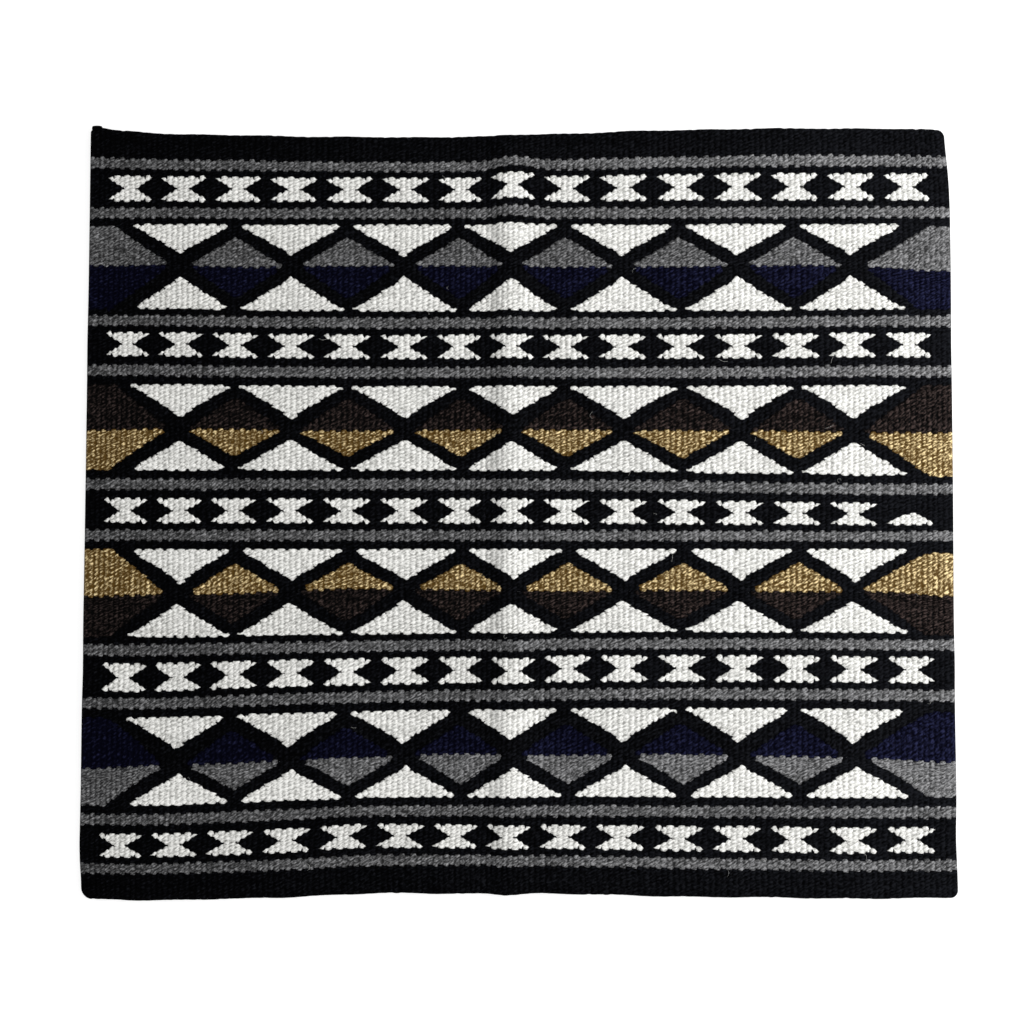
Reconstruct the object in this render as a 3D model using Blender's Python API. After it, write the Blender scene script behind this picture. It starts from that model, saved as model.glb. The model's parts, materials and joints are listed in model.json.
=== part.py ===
"""A wool saddle blanket, woven flat and laid out face up, with +X across the horse and +Y along its back.

The weft is beaten down until it hides the warp, so each colour band is a flat sleeve of weft, and the warp
runs through all the sleeves from end to end, up one column and down the next. The blanket folds in half
along the crease that lies over the horse's spine. Every piece is therefore made once for each half, and the
right half's pieces hang on an empty that stands on the crease. The origin is on the floor, at mid width.
"""

import math

import bmesh
import bpy
from mathutils import Matrix

# The cloth
WIDTH = 0.965  # over the horse, edge to edge
THICKNESS = 0.0075
CLEARANCE = 0.0003  # between pieces that lie against each other

# The warp, a hard-spun cord
WARPS_LEFT = 76  # columns between the left edge and the crease
WARPS_RIGHT = 80
WARP_DIAMETER = 0.0020
TURN_STEPS = 4  # chords in each half turn of the warp at an end of the blanket

# Weft bands, as heights along Y
END_BAND = 0.0300
GREY_STRIPE = 0.0110
HOURGLASS_BAND = 0.0443
TRIANGLE_HALF_BAND = 0.0564  # above or below the line where the diamonds change colour
HOURGLASS_BANDS = 5  # with a grey stripe on each side, and a triangle band between each two

# The ends, closed over a cord that the warp's turns are bound to
END_CORD_DIAMETER = 0.0020
END_WALL = 0.0035  # weft beyond the end cord
KNOT_WIDTH = 0.0110  # where the end cord's tail is tied off, at the top left corner
KNOT_DEPTH = 0.0056
KNOT_HEIGHT = 0.0064
KNOT_OUT = 0.0030  # how far the knot stands past the end of the blanket
KNOT_INSET = 0.0008  # from the blanket's left edge
KNOT_FACETS = 12

# Corners, as the photograph shows them from above
CORNER_TOP_LEFT = 0.0060
CORNER_TOP_RIGHT = 0.0090
CORNER_BOTTOM_LEFT = 0.0130
CORNER_BOTTOM_RIGHT = 0.0085
CORNERS = {
    (1, 1): CORNER_TOP_RIGHT,
    (-1, 1): CORNER_TOP_LEFT,
    (-1, -1): CORNER_BOTTOM_LEFT,
    (1, -1): CORNER_BOTTOM_RIGHT,
}  # by side and end
CORNER_STEPS = 5
EDGE_STEPS = 4  # chords in the half round of each side edge

# Yarns, as colour and roughness; wool has no metallic share
YARNS = {
    "black_wool": ((0.0040, 0.0042, 0.0052), 0.95),
    "grey_wool": ((0.115, 0.116, 0.120), 0.92),
    "navy_wool": ((0.0055, 0.0065, 0.0180), 0.95),
    "brown_wool": ((0.0160, 0.0120, 0.0105), 0.95),
    "gold_wool": ((0.400, 0.270, 0.092), 0.92),
    "black_and_white_wool": ((0.180, 0.178, 0.165), 0.92),
    "warp_cord": ((0.520, 0.490, 0.430), 0.90),
}
# Diamond yarns of the triangle bands, upper half then lower half, from the top of the blanket
DIAMOND_YARNS = (
    ("grey_wool", "navy_wool"),
    ("brown_wool", "gold_wool"),
    ("gold_wool", "brown_wool"),
    ("navy_wool", "grey_wool"),
)

OVERRUN = 0.010  # a cutter's reach past what it cuts

warp_pitch = WIDTH / (WARPS_LEFT + WARPS_RIGHT)
crease_x = WARPS_LEFT * warp_pitch - WIDTH / 2
mid_height = THICKNESS / 2
slot_height = max(WARP_DIAMETER, END_CORD_DIAMETER) + 2 * CLEARANCE
# The slot ends where the outermost warp does, so the weft that turns round that warp is the side wall.
slot_inset = (warp_pitch - WARP_DIAMETER) / 2 - CLEARANCE
end_cord_inset = END_WALL + CLEARANCE + END_CORD_DIAMETER / 2
warp_inset = END_WALL + 2 * CLEARANCE + END_CORD_DIAMETER

for leftover in list(bpy.data.objects):
    bpy.data.objects.remove(leftover)
blanket = bpy.data.collections.new("saddle_blanket")
cutters = bpy.data.collections.new("cutters")
for collection in (blanket, cutters):
    bpy.context.scene.collection.children.link(collection)


def yarn_material(name):
    """The yarn's material, made the first time that a piece asks for it."""
    if name in bpy.data.materials:
        return bpy.data.materials[name]
    colour, roughness = YARNS[name]
    made = bpy.data.materials.new(name)
    made.use_nodes = True
    shader = made.node_tree.nodes["Principled BSDF"]
    shader.inputs["Base Color"].default_value = (*colour, 1)
    shader.inputs["Roughness"].default_value = roughness
    shader.inputs["Metallic"].default_value = 0
    return made


def piece(name, mesh, half, yarn, place=(0, 0, 0)):
    """One piece of the blanket, put at a place in the world and hung on its half's empty."""
    mesh.materials.clear()
    mesh.materials.append(yarn_material(yarn))
    made = bpy.data.objects.new(f"{half.name}_{name}", mesh)
    blanket.objects.link(made)
    made.parent = half
    made.matrix_parent_inverse = half.matrix_world.inverted()
    made.location = place
    return made


def cutter(name, mesh, place=(0, 0, 0)):
    made = bpy.data.objects.new(name, mesh)
    cutters.objects.link(made)
    made.location = place
    made.hide_render = True
    made.display_type = "WIRE"
    return made


def cut(target, tool, operation="DIFFERENCE"):
    boolean = target.modifiers.new(f"{operation.lower()}_{tool.name}", "BOOLEAN")
    boolean.operation = operation
    boolean.object = tool


def mesh_of(curve):
    """The curve's surface as one welded mesh, in the curve's own coordinates."""
    carrier = bpy.data.objects.new(curve.name, curve)
    bpy.context.scene.collection.objects.link(carrier)
    bpy.context.view_layer.update()
    evaluated = carrier.evaluated_get(bpy.context.evaluated_depsgraph_get())
    mesh = bpy.data.meshes.new_from_object(evaluated)
    bpy.data.objects.remove(carrier)
    shape = bmesh.new()
    shape.from_mesh(mesh)
    bmesh.ops.remove_doubles(shape, verts=shape.verts, dist=CLEARANCE / 100)
    bmesh.ops.recalc_face_normals(shape, faces=shape.faces)
    shape.to_mesh(mesh)
    shape.free()
    return mesh


def flat_outline(name, outlines, depth):
    """A 2D curve filled between its outlines and extruded to depth, half to each side."""
    curve = bpy.data.curves.new(name, "CURVE")
    curve.dimensions = "2D"
    curve.fill_mode = "BOTH"
    curve.extrude = depth / 2
    for outline in outlines:
        spline = curve.splines.new("POLY")
        spline.points.add(len(outline) - 1)
        for point, (across, up) in zip(spline.points, outline):
            point.co = (across, up, 0, 1)
        spline.use_cyclic_u = True
    return curve


def tube(name, route, diameter, resolution):
    """A capped tube along the points of route."""
    curve = bpy.data.curves.new(name, "CURVE")
    curve.dimensions = "3D"
    curve.bevel_depth = diameter / 2
    curve.bevel_resolution = resolution
    curve.use_fill_caps = True
    spline = curve.splines.new("POLY")
    spline.points.add(len(route) - 1)
    for point, place in zip(spline.points, route):
        point.co = (*place, 1)
    return curve


def arc(centre, radius, start, end, steps):
    """Points on an arc, from one angle to another in degrees."""
    angles = [math.radians(start + (end - start) * k / steps) for k in range(steps + 1)]
    return [(centre[0] + radius * math.cos(a), centre[1] + radius * math.sin(a)) for a in angles]


def sleeve_outline(side):
    """The half's cross-section in X and Z: square at the crease and half round at the side edge."""
    inner = crease_x + side * CLEARANCE / 2
    round_centre = (side * (WIDTH / 2 - mid_height), mid_height)
    rounding = arc(round_centre, mid_height, -90, 90, EDGE_STEPS)
    if side < 0:
        rounding = [(2 * round_centre[0] - x, z) for x, z in rounding]
    return [(inner, 0), *rounding, (inner, THICKNESS)]


def slot_outline(side):
    """The slot that the warp runs in, seen in the same section."""
    inner = crease_x + side * slot_inset
    outer = side * (WIDTH / 2 - slot_inset)
    low, high = mid_height - slot_height / 2, mid_height + slot_height / 2
    return [(inner, low), (outer, low), (outer, high), (inner, high)]


def prism(name, outlines, depth):
    """The outlines in X and Z run along Y, half of the depth to each side."""
    mesh = mesh_of(flat_outline(name, outlines, depth))
    mesh.transform(Matrix.Rotation(math.pi / 2, 4, "X"))
    return mesh


def band_plan():
    """The weft bands from the top end down, each as a name, its height and its yarn."""
    plan = [("end_band_top", END_BAND, "black_wool")]
    for number in range(1, HOURGLASS_BANDS + 1):
        plan.append((f"grey_stripe_{2 * number - 1}", GREY_STRIPE, "grey_wool"))
        plan.append((f"hourglass_band_{number}", HOURGLASS_BAND, "black_and_white_wool"))
        plan.append((f"grey_stripe_{2 * number}", GREY_STRIPE, "grey_wool"))
        if number < HOURGLASS_BANDS:
            upper, lower = DIAMOND_YARNS[(number - 1) % len(DIAMOND_YARNS)]
            plan.append((f"triangle_band_{number}_upper", TRIANGLE_HALF_BAND, upper))
            plan.append((f"triangle_band_{number}_lower", TRIANGLE_HALF_BAND, lower))
    plan.append(("end_band_bottom", END_BAND, "black_wool"))
    return plan


def band_places():
    """Each band's name, bottom, top and yarn, with the blanket's length centred on the origin."""
    plan = band_plan()
    length = sum(height for _, height, _ in plan) + CLEARANCE * (len(plan) - 1)
    places, top = [], length / 2
    for name, height, yarn in plan:
        places.append((name, top - height, top, yarn))
        top -= height + CLEARANCE
    return places, length


def plan_outline():
    """The blanket seen from above, with its four worn corners."""
    points = []
    for quarter, ((side, end), radius) in enumerate(CORNERS.items()):
        centre = (side * (WIDTH / 2 - radius), end * (blanket_length / 2 - radius))
        points += arc(centre, radius, 90 * quarter, 90 * (quarter + 1), CORNER_STEPS)
    return points


def pocket_outline(side, end):
    """The blind end of the slot seen from above: it stops short of the end and follows the corner."""
    inner = crease_x + side * slot_inset
    outer = side * (WIDTH / 2 - slot_inset)
    near = end * (blanket_length / 2 - END_BAND - OVERRUN)
    far = end * (blanket_length / 2 - END_WALL)
    radius = max(CORNERS[side, end] - END_WALL, CLEARANCE)
    bend = arc((0, 0), radius, 90, 0, CORNER_STEPS)
    corner = [(outer - side * (radius - x), far - end * (radius - y)) for x, y in bend]
    return [(inner, near), (inner, far), *corner, (outer, near)]


def knot_mesh(margin):
    """The tied-off tail of the end cord, an egg that is margin larger all round."""
    shape = bmesh.new()
    bmesh.ops.create_uvsphere(shape, u_segments=KNOT_FACETS, v_segments=KNOT_FACETS // 2, radius=1)
    sizes = (KNOT_WIDTH, KNOT_DEPTH, KNOT_HEIGHT)
    bmesh.ops.scale(shape, vec=[size / 2 + margin for size in sizes], verts=shape.verts)
    mesh = bpy.data.meshes.new("knot")
    shape.to_mesh(mesh)
    shape.free()
    return mesh


def end_band(name, bottom, top, yarn, half, side):
    """The last band of an end, whose slot is a pocket over the end cord."""
    end = 1 if name.endswith("top") else -1
    solid = prism(name, [sleeve_outline(side)], top - bottom)
    made = piece(name, solid, half, yarn, (0, (bottom + top) / 2, 0))
    pocket = mesh_of(flat_outline("pocket", [pocket_outline(side, end)], slot_height))
    cut(made, cutter(f"{half.name}_{name}_pocket", pocket, (0, 0, mid_height)))
    cut(made, plan_cutter, "INTERSECT")
    return made


def turn_reach(side, end, outermost):
    """How far along Y the warp turns; the outermost column turns where the corner's round begins."""
    inset = warp_inset + WARP_DIAMETER / 2 + warp_pitch / 2
    if outermost:
        inset = max(inset, CORNERS[side, end])
    return end * (blanket_length / 2 - inset)


def warp_route(side, count):
    """Up one column and down the next, from the crease outwards, with a half turn at each end."""
    turn = warp_pitch / 2
    first = crease_x + side * turn
    route = [(first, turn_reach(side, -1, False), mid_height)]
    for column in range(count - 1):
        end = 1 if column % 2 == 0 else -1
        middle = first + side * (column * warp_pitch + turn)
        reach = turn_reach(side, end, column == count - 2)
        for x, y in arc((0, 0), turn, 180, 0, TURN_STEPS):
            route.append((middle + side * x, reach + end * y, mid_height))
    last_end = 1 if count % 2 else -1
    last = first + side * (count - 1) * warp_pitch
    route.append((last, turn_reach(side, last_end, True), mid_height))
    return route


def end_cord_route(side, end):
    """A straight run inside the pocket, from beside the crease to where the corner's round begins."""
    inner = crease_x + side * (slot_inset + CLEARANCE)
    outer = side * (WIDTH / 2 - CORNERS[side, end])
    return [(inner, 0, 0), (outer, 0, 0)]


def build_half(name, side, warps):
    """Everything on one side of the crease, hung on an empty that stands on the fold's axis."""
    half = bpy.data.objects.new(name, None)
    half.location = (crease_x, 0, 0)
    blanket.objects.link(half)
    bpy.context.view_layer.update()
    for band, bottom, top, yarn in bands:
        if band.startswith("end"):
            end_band(band, bottom, top, yarn, half, side)
            continue
        sleeve = prism(band, [sleeve_outline(side), slot_outline(side)], top - bottom)
        piece(band, sleeve, half, yarn, (0, (bottom + top) / 2, 0))
    warp = mesh_of(tube("warp", warp_route(side, warps), WARP_DIAMETER, 0))
    piece("warp", warp, half, "warp_cord")
    for end_name, end in (("top", 1), ("bottom", -1)):
        cord = mesh_of(tube("end_cord", end_cord_route(side, end), END_CORD_DIAMETER, 2))
        cord.shade_smooth()
        cord.set_sharp_from_angle(angle=math.radians(60))
        along = end * (blanket_length / 2 - end_cord_inset)
        piece(f"end_cord_{end_name}", cord, half, "black_wool", (0, along, mid_height))
    return half


bands, blanket_length = band_places()
plan_curve = flat_outline("plan", [plan_outline()], THICKNESS + 2 * OVERRUN)
plan_cutter = cutter("plan", mesh_of(plan_curve), (0, 0, mid_height))

left = build_half("left", -1, WARPS_LEFT)
right = build_half("right", 1, WARPS_RIGHT)

# The knot sits in a hollow of the top left corner, and belongs to the left half.
knot_place = (
    KNOT_INSET + KNOT_WIDTH / 2 - WIDTH / 2,
    blanket_length / 2 + KNOT_OUT - KNOT_DEPTH / 2,
    mid_height,
)
knot_seat = cutter("knot_seat", knot_mesh(CLEARANCE), knot_place)
cut(bpy.data.objects["left_end_band_top"], knot_seat)
knot = piece("end_knot", knot_mesh(0), left, "black_wool", knot_place)
knot.data.shade_smooth()
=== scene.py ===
"""The saddle blanket's looks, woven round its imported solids.

+X goes across the horse and +Y along its back.
"""

import json
import math

import bpy
import numpy as np
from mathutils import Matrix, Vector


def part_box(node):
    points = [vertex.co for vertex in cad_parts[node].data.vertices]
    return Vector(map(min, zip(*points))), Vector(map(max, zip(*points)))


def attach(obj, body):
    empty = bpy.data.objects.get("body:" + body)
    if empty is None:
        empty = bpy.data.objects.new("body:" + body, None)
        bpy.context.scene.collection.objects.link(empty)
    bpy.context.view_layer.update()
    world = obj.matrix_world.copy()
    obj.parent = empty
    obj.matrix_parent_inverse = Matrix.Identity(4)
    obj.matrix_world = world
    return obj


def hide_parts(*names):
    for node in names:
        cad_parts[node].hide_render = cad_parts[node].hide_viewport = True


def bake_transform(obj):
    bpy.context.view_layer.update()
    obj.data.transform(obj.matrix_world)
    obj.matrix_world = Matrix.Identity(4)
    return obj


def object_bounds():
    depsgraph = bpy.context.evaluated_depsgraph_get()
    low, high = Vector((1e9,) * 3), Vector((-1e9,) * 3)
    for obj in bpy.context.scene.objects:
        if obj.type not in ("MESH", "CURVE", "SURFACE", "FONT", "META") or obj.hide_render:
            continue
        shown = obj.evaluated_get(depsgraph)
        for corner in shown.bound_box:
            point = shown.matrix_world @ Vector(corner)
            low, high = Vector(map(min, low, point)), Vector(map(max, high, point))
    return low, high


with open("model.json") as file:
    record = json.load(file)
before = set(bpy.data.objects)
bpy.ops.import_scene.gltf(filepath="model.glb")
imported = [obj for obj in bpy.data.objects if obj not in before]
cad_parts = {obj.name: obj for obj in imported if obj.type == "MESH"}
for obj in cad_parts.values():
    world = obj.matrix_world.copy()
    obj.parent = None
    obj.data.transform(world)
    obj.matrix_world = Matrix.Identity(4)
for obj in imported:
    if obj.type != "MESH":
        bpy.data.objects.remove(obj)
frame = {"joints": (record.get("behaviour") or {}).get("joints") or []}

cad_low, cad_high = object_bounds()
chance = np.random.default_rng(1871)

# The warp. One hard-spun pale wool cord is strung on the loom up and down the blanket's length, in 156 columns.
# The beaten weft hides it, and its columns show as the ribs of the cloth. How the cloth lies is worked out here,
# because every other piece lies along the warp: packed at the side edges, pulled about, and creased in the middle.
WARPS = 156
SELVAGE_WARPS = 8  # columns at each side that the turning weft pulls closer together
SELVAGE_PACKING = (0.88, 1.0)  # at the left and at the right side
WARP_THICKNESS = 0.0020
WARP_SIDES = 8
WARP_STEPS = 48  # along each column
TURN_STEPS = 6  # round each half turn
WARP_END_GAP = 0.0092  # from the end of the blanket to the middle of the warp's turns
CREASE_RISE = 0.0094
CREASE_LEFT, CREASE_RIGHT = 0.025, 0.043  # reach of the crease's two flanks
SWELL = 0.0009  # half height of the low swells of a blanket that has been rolled up
SWELL_LENGTH = 0.150
SWELL_SLANT = 3.1  # radians by which the swells run ahead for each metre along
SWELL_RATIO = 0.35  # swells that run along for each one that runs across
SWELL_PHASES = (0.8, -0.4)  # across and along, in radians
# Pulls in the cloth, by how the weaver beat and turned the weft: the place across and along of each one's middle,
# its reach across and along, and its size
PULLS_ALONG = (
    (-0.43, -0.32, 0.19, 0.17, -0.0089),
    (-0.43, -0.425, 0.13, 0.04, 0.0040),
    (-0.12, 0.43, 0.22, 0.06, -0.0055),
    (0.33, 0.43, 0.25, 0.07, 0.0056),
    (0.43, 0.2, 0.17, 0.08, 0.0025),
    (0.43, 0.03, 0.26, 0.05, -0.0059),
    (0.18, -0.19, 0.33, 0.09, 0.0044),
    (0.4, -0.4, 0.18, 0.07, -0.0031),
    (-0.06, -0.425, 0.18, 0.07, 0.0049),
    (0.0, -0.03, 0.45, 0.045, -0.0016),
    (-0.44, 0.19, 0.16, 0.09, 0.0034),
    (-0.47, 0.43, 0.06, 0.04, 0.0035),
    (0.002, 0.375, 0.03, 0.045, 0.0042),
    (-0.39, -0.425, 0.12, 0.03, -0.0026),
    (-0.06, -0.425, 0.05, 0.03, -0.0017),
    (-0.472, 0.43, 0.012, 0.02, 0.0034),
    (0.0, 0.436, 0.28, 0.02, 0.0013),
    (0.05, -0.436, 0.3, 0.02, -0.0016),
    (-0.165, -0.36, 0.06, 0.03, 0.0024),
    (-0.41, -0.186, 0.06, 0.025, -0.0024),
    (0.0, -0.17, 0.03, 0.025, -0.0022),
    (-0.005, 0.436, 0.027, 0.022, -0.0042),
)
PULLS_ACROSS = (
    (0.05, 0.0, 0.11, 0.9, -0.0049),
    (-0.26, 0.06, 0.12, 0.16, -0.0017),
    (0.35, 0.33, 0.25, 0.22, 0.0041),
    (-0.1, -0.4, 0.35, 0.06, -0.0042),
    (0.06, -0.38, 0.14, 0.09, -0.0027),
    (0.3, 0.06, 0.16, 0.16, 0.0033),
    (-0.44, 0.0, 0.035, 0.9, 0.0017),
    (-0.31, 0.0, 0.06, 0.9, -0.0011),
    (-0.09, 0.0, 0.06, 0.9, 0.0027),
    (0.18, 0.0, 0.13, 0.9, -0.0028),
    (0.435, 0.0, 0.045, 0.9, 0.0024),
    (0.48, 0.425, 0.06, 0.045, -0.0045),
    (-0.48, -0.415, 0.06, 0.035, 0.0032),
    (0.0, -0.172, 0.5, 0.03, 0.0014),
    (0.0, 0.186, 0.4, 0.03, -0.0013),
    (0.32, -0.36, 0.2, 0.03, -0.0024),
    (0.25, 0.122, 0.06, 0.03, 0.0026),
)
# How far the middle line of each band of triangles lies below its mean, in millimetres, at ten places across
MIDDLE_PLACES = (-0.469, -0.407, -0.315, -0.190, -0.066, 0.058, 0.180, 0.309, 0.414, 0.465)
MIDDLE_DROPS = {
    1: (-1.2, -2.2, -0.3, -2.3, -2.5, -1.3, -1.4, -3.1, 1.1, 4.2),
    2: (3.1, 1.7, 1.9, 3.7, 2.1, 2.2, 2.4, 2.6, 4.4, 4.7),
    3: (5.7, 2.8, 2.6, -2.2, -0.2, 1.8, 0.9, 2.2, 2.2, 6.4),
    4: (7.9, 4.4, 4.6, 2.9, 0.6, 3.0, 1.9, 4.6, 6.4, 9.7),
}
MIDDLE_REACH = 0.014  # of the drops, along the blanket
width = cad_high.x - cad_low.x
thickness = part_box("left_grey_stripe_1")[1].z
end_top, end_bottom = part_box("left_end_band_top")[1].y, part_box("left_end_band_bottom")[0].y
spine = frame["joints"][0]["pos_m"][0]
column_width = width / (WARPS - SELVAGE_WARPS * (2 - sum(SELVAGE_PACKING)))


def across_at(column):
    """Distance across at a column line: columns of one width, narrower by the packing within each selvage."""
    left = np.minimum(column, SELVAGE_WARPS)
    right = np.maximum(column - (WARPS - SELVAGE_WARPS), 0)
    middle = column - left - right
    return (middle + left * SELVAGE_PACKING[0] + right * SELVAGE_PACKING[1]) * column_width - width / 2


def pulled(across, along, pulls):
    """The sum of the pulls at each point, each a hill that falls off with the square of the distance."""
    total = np.zeros(np.broadcast(across, along).shape)
    for x, y, reach_x, reach_y, size in pulls:
        total += size * np.exp(-(((across - x) / reach_x) ** 2) - ((along - y) / reach_y) ** 2)
    return total


def lay(across, along, above):
    """Where a point of the cloth comes to lie on the floor, from its place in the weave and its height in the cloth.

    It is moved by the pulls and by the drops of the middle lines, lifted by low swells that run both ways, and lifted
    by the crease, a bell of half a cosine on each flank, whose left flank is the steeper.
    """
    x = across + pulled(across, along, PULLS_ACROSS)
    y = along + pulled(across, along, PULLS_ALONG)
    for n, drops in MIDDLE_DROPS.items():
        near = np.exp(-(((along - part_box(f"left_triangle_band_{n}_lower")[1].y) / MIDDLE_REACH) ** 2))
        y = y - near * np.interp(across, MIDDLE_PLACES, drops) / 1000
    turn = 2 * math.pi / SWELL_LENGTH
    across_wave = np.sin(turn * x + SWELL_SLANT * y + SWELL_PHASES[0])
    along_wave = np.cos(SWELL_RATIO * turn * y + SWELL_PHASES[1])
    swell = SWELL * (1 + across_wave * along_wave)
    flank = np.where(x < spine, CREASE_LEFT, CREASE_RIGHT)
    bell = 0.5 + 0.5 * np.cos(math.pi * np.clip((x - spine) / flank, -1, 1))
    z = above + swell * (1 - bell) + CREASE_RISE * bell
    return np.stack([x, y, z], axis=-1)


def swept(path, radius, sides):
    """A closed tube: a ring of points at the radius round each point of the path, with a middle point at each end.

    The ring's two directions are the path's normal in the cloth's plane and the normal to both.
    """
    ahead = np.gradient(path, axis=0)
    ahead /= np.linalg.norm(ahead, axis=1, keepdims=True)
    level = np.cross(ahead, [0, 0, 1.0])
    level /= np.maximum(np.linalg.norm(level, axis=1, keepdims=True), 1e-9)
    upright = np.cross(level, ahead)
    angle = np.linspace(0, 2 * math.pi, sides, endpoint=False)[None, :, None]
    rings = path[:, None] + radius * (np.cos(angle) * level[:, None] + np.sin(angle) * upright[:, None])
    count = len(path)
    points = np.concatenate([rings.reshape(-1, 3), path[:1], path[-1:]])
    ring, side = np.meshgrid(np.arange(count - 1), np.arange(sides), indexing="ij")
    here, after = ring * sides + side, ring * sides + (side + 1) % sides
    walls = np.stack([here, here + sides, after + sides, after], axis=-1).reshape(-1, 4)
    k = np.arange(sides)
    first = np.stack([np.full(sides, count * sides), k, (k + 1) % sides], axis=1)
    last_ring = (count - 1) * sides
    last = np.stack([np.full(sides, count * sides + 1), last_ring + (k + 1) % sides, last_ring + k], axis=1)
    return points, walls, np.concatenate([first, last])


def placed(name, data):
    """A new object of the scene."""
    made = bpy.data.objects.new(name, data)
    bpy.context.scene.collection.objects.link(made)
    return made


def mesh_object(name, points, *face_groups):
    """A mesh object at the origin from its points and groups of faces, each group an array of corner indices."""
    mesh = bpy.data.meshes.new(name)
    mesh.vertices.add(len(points))
    mesh.vertices.foreach_set("co", np.asarray(points, np.float32).ravel())
    corners = np.concatenate([faces.ravel() for faces in face_groups])
    sizes = np.concatenate([np.full(len(faces), faces.shape[1]) for faces in face_groups])
    mesh.loops.add(len(corners))
    mesh.loops.foreach_set("vertex_index", corners.astype(np.int32))
    mesh.polygons.add(len(sizes))
    mesh.polygons.foreach_set("loop_start", (np.cumsum(sizes) - sizes).astype(np.int32))
    mesh.update(calc_edges=True)
    mesh.shade_smooth()
    return placed(name, mesh)


class Tone:
    """A value or colour on its way to a finish. Sums, differences and products of tones add Math nodes."""

    def __init__(self, tree, socket=None):
        self.tree, self.socket = tree, socket

    def node(self, kind, settings, inputs, output=0):
        """Any node: its type, its settings, which are set first, and the values or tones of its sockets."""
        made = self.tree.nodes.new(kind)
        for name, value in settings.items():
            setattr(made, name, value)
        for key, value in inputs.items():
            if isinstance(value, Tone):
                self.tree.links.new(value.socket, made.inputs[key])
            else:
                made.inputs[key].default_value = value
        return Tone(self.tree, made.outputs[output])

    def math(self, operation, first, second):
        return self.node("ShaderNodeMath", {"operation": operation}, {0: first, 1: second})

    def __add__(self, other):
        return self.math("ADD", self, other)

    __radd__ = __add__

    def __sub__(self, other):
        return self.math("SUBTRACT", self, other)

    def __rsub__(self, other):
        return self.math("SUBTRACT", other, self)

    def __mul__(self, other):
        return self.math("MULTIPLY", self, other)

    __rmul__ = __mul__


PLY_SLANT = math.radians(32)  # of the plies against the weft
PLY_SIZE = (1 / 190, 1 / 640, 1.0)  # of a ply's streak, along it, across it and deep
CLUMPS = 430.0  # clumps of fibre in a metre
DYE_PATCHES = 14.0  # patches of a dye lot's slow tone in a metre
PLY_TONE, CLUMP_TONE, STITCH_TONE, DYE_TONE = 3.1, 1.6, 0.5, 0.4  # their shares in a yarn's heather
CLUMP_RELIEF = 0.8  # height of the clumps for each height of the plies
RELIEF_STRENGTH, RELIEF_DEPTH = 0.9, 0.0002
WOOL_ROUGHNESS = 0.7
# Above the mean height a stitch gets painted light, and below it painted shade. A cord takes the colour, with that
# painted shade, of a stitch at the cord height.
MEAN_HEIGHT = 0.71  # in a stitch, where a yarn has its own level
CORD_HEIGHT = 0.6  # in a stitch, that a cord's colour is that of


def wool(name, dark, light, level, painted_relief_shading, heather, painted_lamp_gradient=0.0, gloss=0.2):
    """A wool yarn: dark where it dips between stitches, and streaked by plies that run in a slant across the weft.

    The yarn is mixed from the dark colour to the light by the square of a share. The share is its level, plus a
    painted shading of the relief times the height in the stitch above the mean, which is painted shade in the dips
    between stitches and painted light on their tops, plus a painted gradient times the distance across, which is
    painted lamp light growing towards the right, plus the heather times the tones of plies, clumps of fibre, stitches
    and the dye lot. Plies and clumps also stand up.
    """
    made = bpy.data.materials.new(name)
    made.use_nodes = True
    tree = made.node_tree
    shader = tree.nodes["Principled BSDF"]
    start = Tone(tree)
    place, stitch, height = (
        start.node("ShaderNodeAttribute", {"attribute_name": values}, {}, output)
        for values, output in (("weave", "Vector"), ("stitch", "Fac"), ("height", "Fac"))
    )
    across = start.node("ShaderNodeSeparateXYZ", {}, {"Vector": place}, "X")
    slant = start.node(
        "ShaderNodeMapping",
        {"vector_type": "TEXTURE"},
        {"Vector": place, "Rotation": (0, 0, PLY_SLANT), "Scale": PLY_SIZE},
    )
    plies, clumps, dye = (
        start.node("ShaderNodeTexNoise", {}, {"Vector": vector, "Scale": scale, "Detail": detail}, "Fac")
        for vector, scale, detail in ((slant, 1.0, 1.5), (place, CLUMPS, 1.5), (place, DYE_PATCHES, 2.0))
    )
    mottle = (plies - 0.5) * PLY_TONE + (clumps - 0.5) * CLUMP_TONE
    mottle = mottle + (stitch - 0.5) * STITCH_TONE + (dye - 0.5) * DYE_TONE
    # Painted shade in the dips and painted light on the tops of stitches, by their height, and painted lamp light
    # growing to the right, by the distance across
    share = level + painted_relief_shading * (height - MEAN_HEIGHT) + painted_lamp_gradient * across + heather * mottle
    share = share.math("MAXIMUM", share, 0.0)
    colour = start.node(
        "ShaderNodeMix", {"data_type": "RGBA"}, {0: share * share, 6: (*dark, 1), 7: (*light, 1)}, 2
    )
    tree.links.new(colour.socket, shader.inputs["Base Color"])
    relief = start.node(
        "ShaderNodeBump",
        {},
        {"Height": plies + CLUMP_RELIEF * clumps, "Strength": RELIEF_STRENGTH, "Distance": RELIEF_DEPTH},
    )
    tree.links.new(relief.socket, shader.inputs["Normal"])
    shader.inputs["Roughness"].default_value = WOOL_ROUGHNESS
    shader.inputs["Specular IOR Level"].default_value = gloss
    return made


def write_values(mesh, name, values, domain="POINT"):
    """Stores a value or a vector for each point or face of the mesh, where its finish reads it."""
    kind, field = ("FLOAT_VECTOR", "vector") if values.ndim == 2 else ("FLOAT", "value")
    mesh.attributes.new(name, kind, domain).data.foreach_set(field, values.astype(np.float32).ravel())


def spun(name, shape, finish, slot_name, weave=None):
    """A cord or hairs from points and faces, whose finish reads the weave, or else the points' own places."""
    made = mesh_object(name, *shape)
    points = shape[0]
    write_values(made.data, "weave", points if weave is None else weave)
    write_values(made.data, "height", np.full(len(points), CORD_HEIGHT))
    made.data.materials.append(finish)
    return made


def across_the_fold(piece, *nodes):
    """The piece's place is baked into its mesh, and it stands for the solids that are named, which are hidden."""
    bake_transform(piece)
    if nodes:
        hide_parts(*nodes)


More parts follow.
